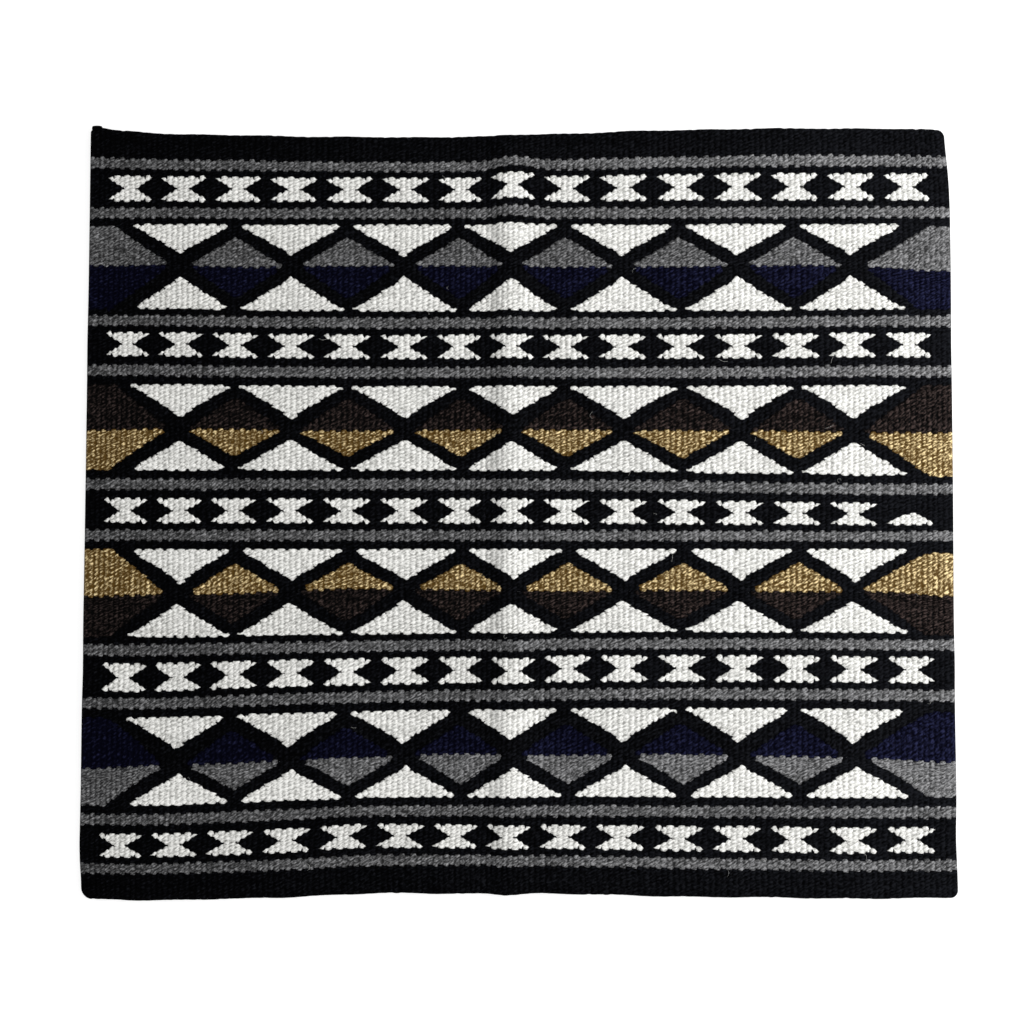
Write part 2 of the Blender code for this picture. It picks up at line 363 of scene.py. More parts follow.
warp_wool = wool("warp_yarn", (0.36, 0.33, 0.28), (0.72, 0.69, 0.61), level=0.7, painted_relief_shading=0.0, heather=0.5)
column = np.arange(WARPS)[:, None]
column_middle = across_at(column + 0.5)
first_end = np.where(column % 2 == 0, -1.0, 1.0)
run = np.linspace(-1, 1, WARP_STEPS)[None, :]
reach = (end_top - end_bottom) / 2 - WARP_END_GAP
straight_across = np.repeat(column_middle, WARP_STEPS, axis=1)
gap = np.diff(column_middle, axis=0, append=column_middle[-1:])  # to the next column
bend = np.linspace(0, math.pi, TURN_STEPS + 2)[None, 1:-1]
turn_across = column_middle + gap * (1 - np.cos(bend)) / 2
turn_along = -first_end * (reach + gap / 2 * np.sin(bend))
warp_across = np.concatenate([straight_across, turn_across], axis=1).ravel()[:-TURN_STEPS]
warp_along = np.concatenate([first_end * -run * reach, turn_along], axis=1).ravel()[:-TURN_STEPS]
warp_path = lay(warp_across, warp_along, np.full(len(warp_across), thickness / 2))
warp_shape = swept(warp_path, WARP_THICKNESS / 2, WARP_SIDES)
warp_length = np.concatenate([[0], np.cumsum(np.linalg.norm(np.diff(warp_path, axis=0), axis=1))])
warp_round = np.arange(WARP_SIDES) * (math.pi * WARP_THICKNESS / WARP_SIDES)
warp_weave = np.zeros(warp_shape[0].shape)  # along the cord and round it, with both end points at 0
warp_weave[:-2, 0] = np.repeat(warp_length, WARP_SIDES)
warp_weave[:-2, 1] = np.tile(warp_round, len(warp_path))
warp = spun("warp", warp_shape, warp_wool, "warp_cord", warp_weave)
across_the_fold(warp, "left_warp", "right_warp")

# The end cords. At each end the turns of the warp are bound to a cord of black wool, twisted from two strands,
# which lies inside the end's roll of weft and stops where the corners start to round.
END_CORD_INSET = 0.0048  # from the end of the blanket to the cord's middle
END_CORD_SHORT = 0.013  # from the side of the blanket to the cord's end
STRAND_THICKNESS = 0.0011
STRAND_OFFSET = 0.00046  # from the cord's middle
CORD_TWIST = 0.0075  # length of one turn
CORD_STEPS = 900
STRAND_SIDES = 6
# Its relief shading and its gradient across are painted: shade in the dips between stitches, light on their tops, and
# lamp light growing to the right.
black_wool = wool(
    "black_yarn", (0.0001, 0.0001, 0.0003), (0.0090, 0.0097, 0.0125),
    level=0.46, painted_relief_shading=0.65, heather=0.65, painted_lamp_gradient=0.46, gloss=0.02
)


def joined(parts):
    """Several closed shapes as one: their points, their four-sided faces and their triangles."""
    starts = np.cumsum([0] + [len(points) for points, _, _ in parts[:-1]])
    return (
        np.concatenate([points for points, _, _ in parts]),
        np.concatenate([walls + start for start, (_, walls, _) in zip(starts, parts)]),
        np.concatenate([caps + start for start, (_, _, caps) in zip(starts, parts)]),
    )


for end, edge, sign in (("top", end_top, -1), ("bottom", end_bottom, 1)):
    cord_across = np.linspace(-width / 2 + END_CORD_SHORT, width / 2 - END_CORD_SHORT, CORD_STEPS)
    strands = []
    for strand in (0, 1):
        turn = 2 * math.pi * cord_across / CORD_TWIST + math.pi * strand
        strand_along = edge + sign * END_CORD_INSET + STRAND_OFFSET * np.cos(turn)
        strand_above = thickness / 2 + STRAND_OFFSET * np.sin(turn)
        strand_path = lay(cord_across, strand_along, strand_above)
        strands.append(swept(strand_path, STRAND_THICKNESS / 2, STRAND_SIDES))
    cord = spun(f"end_cord_{end}", joined(strands), black_wool, "black_wool")
    across_the_fold(cord, f"left_end_cord_{end}", f"right_end_cord_{end}")

# The end bands. Black wool weft is beaten down over the warp's turns, and turns round the outermost warp at each
# side. Each pass of weft goes over every second column, so its stitches stand half a stitch off the next column's.
# The cloth is the same on both faces. Each band holds the stitches of its own passes, from face to face.
PASSES = 399  # of weft, from end to end
END_PASSES = 14
STRIPE_PASSES = 5
HOURGLASS_PASSES = 21
HALF_BAND = 27  # passes from the middle of a triangle band to its edge
STITCH_CELLS = 4  # faces along and across a stitch on the upper face; the underside has half
RELIEF = 0.0023  # from the top of a rib down to where its sides would end
RIB_REACH = 1.12  # half width of the swelling of a rib, in half columns
STITCH_NOTCH = 0.46  # of the rib's height, between one stitch and the next
NOTCH_LIMIT = 1.5  # square of the distance, in half stitches, beyond which the notch gets no deeper
STITCH_LEAN = 0.60  # half stitches by which a stitch rises from its middle to its right side
STITCH_SPREAD = 0.10  # of a column, by which the middle of a stitch pushes its neighbours aside
SPREAD_WITHIN = 0.45  # share of that spread half way from a stitch's middle to its side
SELVAGE_SWELLING = (0.3, 0.6)  # of a stitch round the outermost warps: a fixed height, and a share of any other's
STITCH_BULGE = 0.22  # of a pass, by which the end of a paler stitch swells into a darker one
SLANT_BULGE = 0.85  # the same where the end lies on a slanted edge
STITCH_EVENING = 0.10  # of a pass, by which neighbours' ends are beaten towards one line
STITCH_PUFF = 0.40  # of a column, by which a paler stitch swells over a darker one beside it
PUFF_REACH = 0.8  # passes from a slanted edge at which it swells in full
TIP_BEATING = 1.75  # passes by which a stitch's end is beaten on to a slanted edge at most
LONGEST_BEATING = 2.2  # passes by which any point in a stitch is moved at most
SLANT_UNEVEN = 1.2  # unevenness of the ends that are beaten on to a slanted edge, against the others
SMOOTHNESS = 0.42  # share of the steps of a slanted edge that beating takes away
PARTED_REACH = 2.6  # passes within which a slanted edge draws the corners between two yarns, by the smoothness
SLANT_REACH = 3.2  # passes within which it draws the other corners
SLANT_DRAW = 0.8  # share of the way that it draws those nearest to it
NOWHERE_NEAR = 9.0  # passes to a slanted edge, where the pattern has none
ROLL = 0.0040  # reach of the roundness of the blanket's edges
ROLL_TURNED = 0.96  # share of that reach by which the cloth has turned where it ends
CORNERS = {(-1, 1): 0.004, (1, 1): 0.009, (-1, -1): 0.013, (1, -1): 0.0085}  # radius by side and end
UNEVEN = 0.00035  # of each stitch, in height
UNEVEN_ALONG = 0.13  # of a pass, in the place of each stitch's end
UNEVEN_ACROSS = 0.00022  # of each stitch's sides
WANDER = 0.00022  # of each pass, along the warp
WANDER_WAVES = (31, 77)  # radians of its two waves for each metre across
WANDER_PHASES = 5  # spread of the short wave's start, in radians
STITCH_SHADE, PASS_SHADE = 0.2, 0.1  # differences in tone from stitch to stitch and from pass to pass
DYE_LOTS = {"triangle_band_4_lower": 0.25, "triangle_band_3_upper": 0.08}  # bands woven with a paler lot of yarn
SHARP_EDGE = math.radians(60)
grid_columns = WARPS * STITCH_CELLS
grid_rows = (PASSES + 1) * STITCH_CELLS // 2
stitch_dip = np.abs(chance.normal(0, 1, (WARPS, PASSES + 2)))
stitch_tone = np.clip(0.5 + STITCH_SHADE * chance.normal(0, 1, (WARPS, PASSES + 2)), 0, 1)
pass_tone = PASS_SHADE * chance.normal(0, 1, PASSES + 2)
pass_wave = chance.normal(0, 1, (PASSES + 2, 3))
edge_uneven = UNEVEN_ALONG * chance.normal(0, 1, (WARPS, PASSES + 6))
side_uneven = UNEVEN_ACROSS * chance.normal(0, 1, (WARPS + 1, PASSES + 2))
# The edges at which stitches start, by column and by the pass that starts there, from pass -2 on. A column has an
# edge at every second one.
columns, starts = np.meshgrid(np.arange(WARPS), np.arange(-2, PASSES + 4), indexing="ij")
has_edge = starts % 2 == columns % 2

# The bands from the top end down, each with its passes and the way that the paler yarn swells at its lower edge,
# down the blanket (1) or up it (-1)
band_order = [("end_band_top", END_PASSES, -1)]
for n, middle_bulge in ((1, 1), (2, -1), (3, 1), (4, -1), (5, 0)):
    band_order += [
        (f"grey_stripe_{2 * n - 1}", STRIPE_PASSES, 1),
        (f"hourglass_band_{n}", HOURGLASS_PASSES, -1),
        (f"grey_stripe_{2 * n}", STRIPE_PASSES, 1),
    ]
    if n < 5:
        band_order += [
            (f"triangle_band_{n}_upper", HALF_BAND, middle_bulge),
            (f"triangle_band_{n}_lower", HALF_BAND, -1),
        ]
band_order += [("end_band_bottom", END_PASSES, 0)]
band_passes, band_bulges = {}, {}
started, bulge_above = 0, 0
for name, count, bulge_below in band_order:
    band_passes[name] = (started, started + count)
    band_bulges[name] = (bulge_above, bulge_below)
    started, bulge_above = started + count, bulge_below

# The rows in which the blanket ends and bands meet, half way down their teeth, and where each lies along the blanket
row_marks = [0.0] + [2.0 * end + 1 for _, end in list(band_passes.values())[:-1]] + [float(grid_rows)]
row_heights = [end_top]
for name, following in zip(list(band_passes)[:-1], list(band_passes)[1:]):
    row_heights.append((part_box(f"left_{name}")[0].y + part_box(f"left_{following}")[1].y) / 2)
row_heights.append(end_bottom)


def stitch_swelling(aside, ahead):
    """The height of a stitch, from 0 to 1, by half columns aside and half stitches ahead of its middle.

    It is the round of its rib, less the notch times the square of the distance ahead, which leans to the right.
    """
    rib = np.sqrt(1 - (aside / RIB_REACH) ** 2)
    return rib * (1 - STITCH_NOTCH * np.minimum((ahead + STITCH_LEAN * aside) ** 2, NOTCH_LIMIT))


def pass_at(column, row):
    """The pass that shows over a column at a row. Pass p shows on columns as odd or even as it, for four rows."""
    return (row - 2 * (column % 2)) // 4 * 2 + column % 2


def between_edges(column, row, edges):
    """A value at a row of a column's stitch, evenly between the values at the stitch's two edges."""
    near = np.clip(pass_at(column, row), -2, PASSES) + 2
    share = ((row - 2 * (column % 2)) % 4) / 4
    return edges[column, near] * (1 - share) + edges[column, near + 2] * share


def clear_of_edges(name, row):
    """Whether a row lies between the teeth of its band's two long edges."""
    first, last = band_passes[name]
    return (row > 2 * first + 3) & (row < 2 * last)


def cloth_point(i, row, upper, moved, puffed):
    """Places of the weave's grid points, by column line i (four to a column) and row (two to a pass).

    The height is the taller of the stitches on each side of the point. A stitch spreads where its neighbours
    across are at their gap. Near an edge the cloth rounds off as a circle does, and the corners of its outline
    are turned in by the mapping of a square on a disc. Each point is moved down its column by so many rows, and
    puffed out across by so many columns. Returns the places, the places before the cloth is laid, and the heights.
    """
    column = np.clip(i // STITCH_CELLS, 0, WARPS - 1)
    aside = (i % STITCH_CELLS - 2) / 2.0
    start = 2 * (column % 2)  # the row at which a column's stitches start, counted in fours
    ahead = ((row - start) % 4 - 2) / 2.0
    beside = ((row - start + 2) % 4 - 2) / 2.0
    line = i % STITCH_CELLS == 0
    side_edge = (i == 0) | (i == grid_columns)
    swelling = np.where(
        line,
        np.maximum(stitch_swelling(-1.0, ahead), stitch_swelling(1.0, beside)),
        stitch_swelling(aside, ahead),
    )
    outermost = (i <= STITCH_CELLS) | (i >= grid_columns - STITCH_CELLS)
    swelling = np.where(outermost, SELVAGE_SWELLING[0] + SELVAGE_SWELLING[1] * swelling, swelling)
    number = np.clip(pass_at(column, row), 0, PASSES + 1)
    rise = swelling * (RELIEF - UNEVEN * stitch_dip[column, number]) - RELIEF
    spread = np.cos(math.pi * ahead) * STITCH_SPREAD * column_width
    spread = np.where(line, -spread, SPREAD_WITHIN * np.sign(aside) * spread)
    x = across_at(i / STITCH_CELLS) + np.where(side_edge, 0, spread) + puffed * column_width
    pass_near = np.clip(row // 2, 0, PASSES + 1)
    x += np.where(line & ~side_edge, side_uneven[i // STITCH_CELLS, pass_near], 0)
    waves = pass_wave[pass_near]
    long_wave = waves[..., 0] * np.sin(WANDER_WAVES[0] * x + waves[..., 1])
    short_wave = waves[..., 1] * np.sin(WANDER_WAVES[1] * x + WANDER_PHASES * waves[..., 2])
    y = np.interp(row + moved, row_marks, row_heights) + WANDER * (long_wave + short_wave)
    half_height = (end_top - end_bottom) / 2
    inside_x = np.clip((np.abs(x) - (width / 2 - ROLL)) / ROLL, 0, 1)
    inside_y = np.clip((np.abs(y) - (half_height - ROLL)) / ROLL, 0, 1)
    roundness = np.sqrt(1 - (ROLL_TURNED * np.minimum(np.hypot(inside_x, inside_y), 1)) ** 2)
    for (side, end), radius in CORNERS.items():
        a = np.clip((side * x - (width / 2 - radius)) / radius, 0, 1)
        b = np.clip((end * y - (half_height - radius)) / radius, 0, 1)
        turned = (a > 0) & (b > 0)
        x = np.where(turned, side * (width / 2 - radius + radius * a * np.sqrt(1 - b * b / 2)), x)
        y = np.where(turned, end * (half_height - radius + radius * b * np.sqrt(1 - a * a / 2)), y)
    top = thickness / 2 + rise
    above = thickness / 2 + top * roundness if upper else thickness / 2 - top * roundness
    return lay(x, y, above), np.stack([x, y, above], axis=-1), swelling


def stitch_edges(name, yarn_at, ranks, slope_near):
    """How the edges at which a band's stitches start lie.

    The paler yarn, which is the higher in rank, swells into the darker, and edges that turn the same way as those
    of the columns beside them are evened with them. Where a slanted edge of the pattern runs through a stitch, the
    nearer edge of the stitch is beaten on to it. Returns the way of each change of rank, whether the edge is beaten,
    and how far down its middle bulges and its ends have settled, in passes.
    """
    first, last = band_passes[name]
    rank = np.array(ranks)
    inside = (starts > first + 1) & (starts < last)
    change = np.sign(rank[yarn_at(columns, starts - 2)] - rank[yarn_at(columns, starts)])
    beaten = np.zeros(starts.shape, bool)
    if slope_near:
        near = np.abs(slope_near(columns, starts - first - 0.5, change)) <= TIP_BEATING
        beaten = inside & (change != 0) & near
    turn = np.where(inside & has_edge, change, 0.0)
    ends = [((starts == edge) | (starts == edge + 1)) & has_edge for edge in (first, last)]
    for at_end, way in zip(ends, band_bulges[name]):
        turn = np.where(at_end, way, turn)
    bulge = turn * np.where(beaten, SLANT_BULGE, STITCH_BULGE)
    turn = np.where(ends[0] | ends[1], 1.0, turn)
    ringed = np.pad(turn, 1)
    evening = sum(
        step * (ringed[1 + side : 1 + side + WARPS, 1 + step : 1 + step + starts.shape[1]] == turn)
        for side in (-1, 1)
        for step in (-1, 1)
    )
    return change, beaten, bulge, edge_uneven + np.where(turn != 0, STITCH_EVENING / 2 * evening, 0)


def rows_moved(name, i, row, met, away, edges, slope_near, smoothness):
    """How far down each grid point is moved, in rows.

    The moves of a stitch's two edges fade evenly along it, and their bulges fade to nothing at its middle and at its
    sides. Points between two columns lie half way between the moves of both. Where a slanted edge passes, the ends
    of stitches and the corners between two yarns are beaten on to it, and it draws the other corners near it. On
    each line between two columns met are the yarns on both sides, and away is how far down the slanted edge is.
    """
    first, _ = band_passes[name]
    change, beaten, bulge, settled = edges
    moved = np.zeros(i.shape)
    for quarter in range(1, STITCH_CELLS):
        within, aside = slice(quarter, None, STITCH_CELLS), (quarter - 2) / 2
        column, stitch_row = i[within] // STITCH_CELLS, row[within]
        shift = settled
        if slope_near:
            to_slope = slope_near(columns + smoothness * aside / 2, starts - first - 0.5, change)
            shift = np.where(beaten, to_slope + SLANT_UNEVEN * edge_uneven, shift)
            shift = np.clip(shift, -LONGEST_BEATING, LONGEST_BEATING)
        nearness = np.abs(((stitch_row - 2 * (column % 2)) % 4) / 2 - 1)
        moved[within] = between_edges(column, stitch_row, shift)
        moved[within] += (1 - aside**2) * nearness * between_edges(column, stitch_row, bulge)
    line_row = row[::STITCH_CELLS]
    column = np.minimum(i[::STITCH_CELLS] // STITCH_CELLS, WARPS - 1)
    line_moved = between_edges(column, line_row, settled)
    line_moved = (line_moved + between_edges(np.maximum(column - 1, 0), line_row, settled)) / 2
    if slope_near:
        near = clear_of_edges(name, line_row) & (np.abs(away) < SLANT_REACH)
        parted = (met[0][0] != met[0][1]) | (met[1][0] != met[1][1])
        drawn = np.where(
            parted & (np.abs(away) < PARTED_REACH),
            smoothness,
            SLANT_DRAW * np.maximum(1 - np.abs(away) / SLANT_REACH, 0),
        )
        line_moved = np.where(near, away * drawn, line_moved)
    moved[::STITCH_CELLS] = line_moved
    return 2 * moved


def columns_puffed(name, row, met, away, ranks, puff):
    """How far across each grid point is moved, in columns.

    A paler stitch swells sideways over a darker one, but not at the band's own edges or on a slanted edge.
    """
    rank = np.array(ranks)
    puffed = np.zeros(row.shape)
    lines = slice(STITCH_CELLS, grid_columns, STITCH_CELLS)
    for left, right in met:
        puffed[lines] += np.sign(rank[left[1:-1]] - rank[right[1:-1]]) * puff / 2
    puffed *= clear_of_edges(name, row)
    puffed[lines] *= np.clip(np.abs(away[1:-1]) / PUFF_REACH, 0, 1)
    return puffed


def cloth_faces(mine, yarn, tone):
    """Faces of a closed cloth over the cells that are the band's own, with the yarn and the tone of each face.

    Its points are those of the upper face, column by column, and then every second one again for the underside.
    Walls go down wherever a cell of the band meets one that isn't.
    """
    rows, lower_rows = mine.shape[1] + 1, mine.shape[1] // 2 + 1
    lower_start = (mine.shape[0] + 1) * rows

    def upper(a, b):
        return a * rows + b

    def lower(a, b):
        return lower_start + a * lower_rows + b

    a, b = np.nonzero(mine)
    upper_faces = np.stack([upper(a, b), upper(a, b + 1), upper(a + 1, b + 1), upper(a + 1, b)], axis=1)
    face_yarn, face_tone = [yarn[a, b]], [tone[a, b]]
    block, block_yarn, block_tone = mine[::2, ::2], yarn[::2, ::2], tone[::2, ::2]
    a, b = np.nonzero(block)
    lower_faces = np.stack([lower(a, b), lower(a + 1, b), lower(a + 1, b + 1), lower(a, b + 1)], axis=1)
    face_yarn.append(block_yarn[a, b])
    face_tone.append(block_tone[a, b])
    ringed = np.pad(block, 1)
    walls = []
    for step_a, step_b, upper_run, lower_run in (
        (-1, 0, ((0, 2), (0, 1), (0, 0)), ((0, 0), (0, 1))),
        (1, 0, ((2, 0), (2, 1), (2, 2)), ((1, 1), (1, 0))),
        (0, -1, ((0, 0), (1, 0), (2, 0)), ((1, 0), (0, 0))),
        (0, 1, ((2, 2), (1, 2), (0, 2)), ((0, 1), (1, 1))),
    ):
        a, b = np.nonzero(block & ~np.roll(ringed, (-step_a, -step_b), (0, 1))[1:-1, 1:-1])
        corners = [upper(2 * a + p, 2 * b + q) for p, q in upper_run] + [lower(a + p, b + q) for p, q in lower_run]
        walls.append(np.stack(corners, axis=1))
        face_yarn.append(block_yarn[a, b])
        face_tone.append(block_tone[a, b])
    faces = [upper_faces, lower_faces, np.concatenate(walls)]
    return faces, np.concatenate(face_yarn), np.concatenate(face_tone)


def woven(
    name, slot_name, yarns, ranks=(0,), yarn_of=None, slope_near=None, smoothness=SMOOTHNESS, puff=STITCH_PUFF
):
    """One band of weft as a closed cloth with stitches on both faces.

    The grid covers the band's passes. A cell belongs to the band if its stitch does, so the band's two long edges
    are toothed. The yarns have ranks, the paler the higher. yarn_of says which of them a stitch is of, by its column
    and its distance down the band, in passes from the band's mean upper edge, and slope_near how many passes it is
    from there down to the nearest slanted edge of the pattern.
    """
    first, last = band_passes[name]
    low_row = grid_rows if last == PASSES else 2 * last + 2

    def yarn_at(column, number):
        """The yarn of the stitch that a pass makes over a column."""
        if yarn_of is None:
            return np.zeros(np.broadcast(column, number).shape, int)
        return yarn_of(column, number - first + 0.5)

    i, row = np.meshgrid(np.arange(grid_columns + 1), np.arange(2 * first, low_row + 1), indexing="ij")

    # On each line between two columns, how far down the slanted edge is, and which yarns meet just below a row and
    # just above it
    line_column, line_row = i[::STITCH_CELLS] // STITCH_CELLS, row[::STITCH_CELLS]
    away = np.full(line_row.shape, NOWHERE_NEAR)
    if slope_near:
        away = slope_near(line_column - 0.5, line_row / 2 - first - 0.5)
    sides = [np.clip(line_column + step, 0, WARPS - 1) for step in (-1, 0)]
    met = [
        [yarn_at(side, np.clip(pass_at(side, line_row - above), first, last - 1)) for side in sides]
        for above in (0, 1)
    ]
    edges = stitch_edges(name, yarn_at, ranks, slope_near)
    moved = rows_moved(name, i, row, met, away, edges, slope_near, smoothness)
    puffed = columns_puffed(name, row, met, away, ranks, puff)
    upper = cloth_point(i, row, True, moved, puffed)
    lower = cloth_point(i[::2, ::2], row[::2, ::2], False, moved[::2, ::2], puffed[::2, ::2])
    points, weave = (np.concatenate([upper[k].reshape(-1, 3), lower[k].reshape(-1, 3)]) for k in (0, 1))
    height = np.concatenate([upper[2].ravel(), lower[2].ravel()])

    column = i[:-1, :-1] // STITCH_CELLS
    number = np.clip(pass_at(column, row[:-1, :-1]), 0, PASSES)
    held = np.minimum(number, PASSES - 1)
    tone = stitch_tone[column, number] + pass_tone[number] + DYE_LOTS.get(name, 0)
    faces, face_yarn, face_tone = cloth_faces((held >= first) & (held < last), yarn_at(column, held), tone)

    # Points that no face uses are left out
    used = np.zeros(len(points), bool)
    for corners in faces:
        used[corners.ravel()] = True
    fresh = np.cumsum(used) - 1
    made = mesh_object(name, points[used], *(fresh[corners] for corners in faces))
    mesh = made.data
    for finish in yarns:
        mesh.materials.append(finish)
    mesh.polygons.foreach_set("material_index", face_yarn.astype(np.int32))
    write_values(mesh, "weave", weave[used])
    write_values(mesh, "height", height[used])
    write_values(mesh, "stitch", face_tone, "FACE")
    mesh.set_sharp_from_angle(angle=SHARP_EDGE)
    across_the_fold(made, f"left_{name}", f"right_{name}")
    return made


for end in ("top", "bottom"):
    band = woven(f"end_band_{end}", "black_wool", [black_wool])

# The grey stripes. One lies above and one below each band of hourglasses. Each is five passes of weft, spun from a
# mix of dark and pale fleece and beaten down between the black grounds.
# Its relief shading and its gradient across are painted: shade in the dips between stitches, light on their tops, and
# lamp light growing to the right.
grey_wool = wool(
    "grey_yarn", (0.006, 0.0063, 0.0066), (0.310, 0.310, 0.318),
    level=0.51, painted_relief_shading=0.45, heather=0.62, painted_lamp_gradient=0.20, gloss=0.3
)
stripes = {n: woven(f"grey_stripe_{n}", "grey_wool", [grey_wool]) for n in range(1, 11)}

# The hourglass bands. On a black ground, bleached white wool makes fifteen hourglasses, each over ten columns,
# joined to the ground where the two yarns turn back from one another. The weaver left out half of one of them.
FIGURE_COLUMNS = 10
FIGURES_ACROSS = 15
TIP_PASSES = 2  # at the end of a figure, in which its tip may get a stitch
TIP_LENGTH = 0.8  # passes of a paler yarn there that are enough for one
FIRST_FIGURE = 7.5  # its middle, between two columns
HALF_LEFT_OUT = (3, 14)  # the band and the figure, counted from 0, that has no upper half
WHITE_RANK = 3  # it is the palest yarn, and swells over every other
FIGURE_UNEVEN = 0.06  # of a column, in the width of each figure
FIGURE_SMOOTHNESS = 0.8  # share of the steps of a figure's sides that beating takes away
FIGURE_PUFF = 0.15  # of a column
FIGURE_REACH = 0.9  # passes by which the slant of a figure's sides is kept up beyond its ends
# The figures of each band: the passes from and to which they go, columns from their middle to the side of the
# waist, and columns that they flare for each pass from the waist
FIGURES = {
    1: (4, 17, 0.80, 0.54),
    2: (4, 16, 0.70, 0.58),
    3: (5, 17, 0.70, 0.58),
    4: (4, 17, 0.85, 0.54),
    5: (5, 17, 0.75, 0.60),
}
# Its relief shading is painted: shade in the dips between stitches, light on their tops.
white_wool = wool("white_yarn", (0.10, 0.098, 0.085), (0.98, 0.975, 0.94), level=0.844, painted_relief_shading=0.43, heather=0.31)
figure_slack = FIGURE_UNEVEN * chance.normal(0, 1, (6, FIGURES_ACROSS + 1))


def hourglasses(band_number):
    """The pattern of a band: the yarn of a stitch, and the passes down to the nearest slanted side of a figure.

    White is where a column is no further from the figure's middle than the waist plus the flare of its passes. In
    the last passes a stitch at the figure's tip is white too, if the slanted side leaves enough of it. For a turn
    of 1 only the sides with white above them count, and for -1 only those with white below.
    """
    start, end, waist, flare = FIGURES[band_number]
    middle, half = (start + end) / 2, (end - start) / 2

    def figure_at(column):
        """A column's figure, and how many columns it is beyond the side of the figure's waist."""
        nearest = (column - FIRST_FIGURE + FIGURE_COLUMNS / 2) // FIGURE_COLUMNS
        figure = np.clip(nearest, 0, FIGURES_ACROSS - 1).astype(int)
        aside = np.abs(column - FIRST_FIGURE - figure * FIGURE_COLUMNS)
        return figure, aside - waist - figure_slack[band_number, figure]

    def yarn_of(column, along):
        figure, aside = figure_at(column)
        from_middle = np.abs(along - middle)
        tip = (from_middle > half - TIP_PASSES) & (half - aside / flare > TIP_LENGTH)
        white = ((aside <= flare * from_middle) | tip) & (along > start) & (along < end)
        if band_number == HALF_LEFT_OUT[0]:
            white &= (figure != HALF_LEFT_OUT[1]) | (along > middle)
        return white.astype(int)

    def slope_near(column, along, turn=0):
        reach = figure_at(column)[1] / flare
        side = np.where(along < middle, -1, 1)
        fits = (turn == 0) | (turn == -side)
        there = fits & (reach > 0) & (reach < half + FIGURE_REACH)
        return np.where(there, middle + side * reach - along, NOWHERE_NEAR)

    return yarn_of, slope_near


for n in range(1, 6):
    band = woven(
        f"hourglass_band_{n}",
        "black_and_white_wool",
        [black_wool, white_wool],
        (0, WHITE_RANK),
        *hourglasses(n),
        smoothness=FIGURE_SMOOTHNESS,
        puff=FIGURE_PUFF,
    )
    stripes[2 * n - 1]
    stripes[2 * n]

# The triangle bands. White triangles point in from both long edges, over every second hourglass, and between them
# stand diamonds of coloured wool, cut in two at the band's middle: grey over navy, brown over gold, and back.
TRIANGLE_COLUMNS = 20
TRIANGLES_ACROSS = 7
FIRST_TRIANGLE = 17.5  # its middle, between two columns
EDGE_COLUMNS = 17  # at each side, which hold a half diamond
TRIANGLE_REACH = 9.05  # columns from a triangle's middle to the tip of its base
POINT_DRAWN = 1.5  # passes by which a triangle's point is drawn out, over the last column
# Each half band: the base and the point of its triangles, in passes from the band's middle, their drift across, the
# height of the diamonds between, and the half diamonds at the left and the right edge, each by the columns from the
# edge to its tip, the columns that it loses by each pass from the middle, and its top in passes
HALF_BANDS = {
    (1, "upper"): (23, 7.7, -0.3, 16.2, (15.2, 0.48, 22.5), (15.7, 0.55, 22.3)),
    (1, "lower"): (23, 6.0, -0.15, 16.3, (15.2, 0.49, 23.0), (15.0, 0.41, 23.5)),
    (2, "upper"): (22, 6.8, 0.1, 15.5, (15.2, 0.47, 22.3), (15.5, 0.49, 22.0)),
    (2, "lower"): (22, 6.5, 0, 14.9, (15.2, 0.51, 22.3), (15.7, 0.52, 23.3)),
    (3, "upper"): (22, 6.4, 0.3, 14.4, (15.1, 0.47, 22.5), (16.2, 0.59, 20.2)),
    (3, "lower"): (23, 7.1, -0.1, 16.4, (15.1, 0.46, 22.7), (15.6, 0.44, 24.5)),
    (4, "upper"): (22, 7.1, -0.1, 14.2, (15.1, 0.48, 22.0), (16.5, 0.58, 21.3)),
    (4, "lower"): (22, 6.9, 0.4, 15.5, (15.2, 0.50, 22.0), (15.2, 0.49, 22.5)),
}
DIAMOND_REACH = 8.4  # columns from a diamond's middle to its tip, on the band's middle line
TRIANGLE_UNEVEN = 0.05  # of a column, in the width of each triangle
# Their relief shading and their gradient across are painted: shade in the dips between stitches, light on their tops,
# and lamp light growing to the right.
navy_wool = wool(
    "navy_yarn", (0.0001, 0.0001, 0.0036), (0.0180, 0.0205, 0.060),
    level=0.33, painted_relief_shading=0.8, heather=0.65, painted_lamp_gradient=0.34, gloss=0.03
)
brown_wool = wool(
    "brown_yarn", (0.0004, 0.0003, 0.0003), (0.066, 0.046, 0.042),
    level=0.325, painted_relief_shading=0.8, heather=0.74, painted_lamp_gradient=0.19, gloss=0.04
)
gold_wool = wool(
    "gold_yarn", (0.080, 0.038, 0.0), (1.0, 0.79, 0.42), level=0.32, painted_relief_shading=1.1, heather=0.85, painted_lamp_gradient=0.16
)
triangle_slack = TRIANGLE_UNEVEN * chance.normal(0, 1, (10, TRIANGLES_ACROSS + 2))  # by half band and place
triangle_slack[:, 3] -= 0.50  # the triangles in the crease are narrower
triangle_slack[[2, 3, 5, 8], 0] -= 0.35  # and so are some at the left


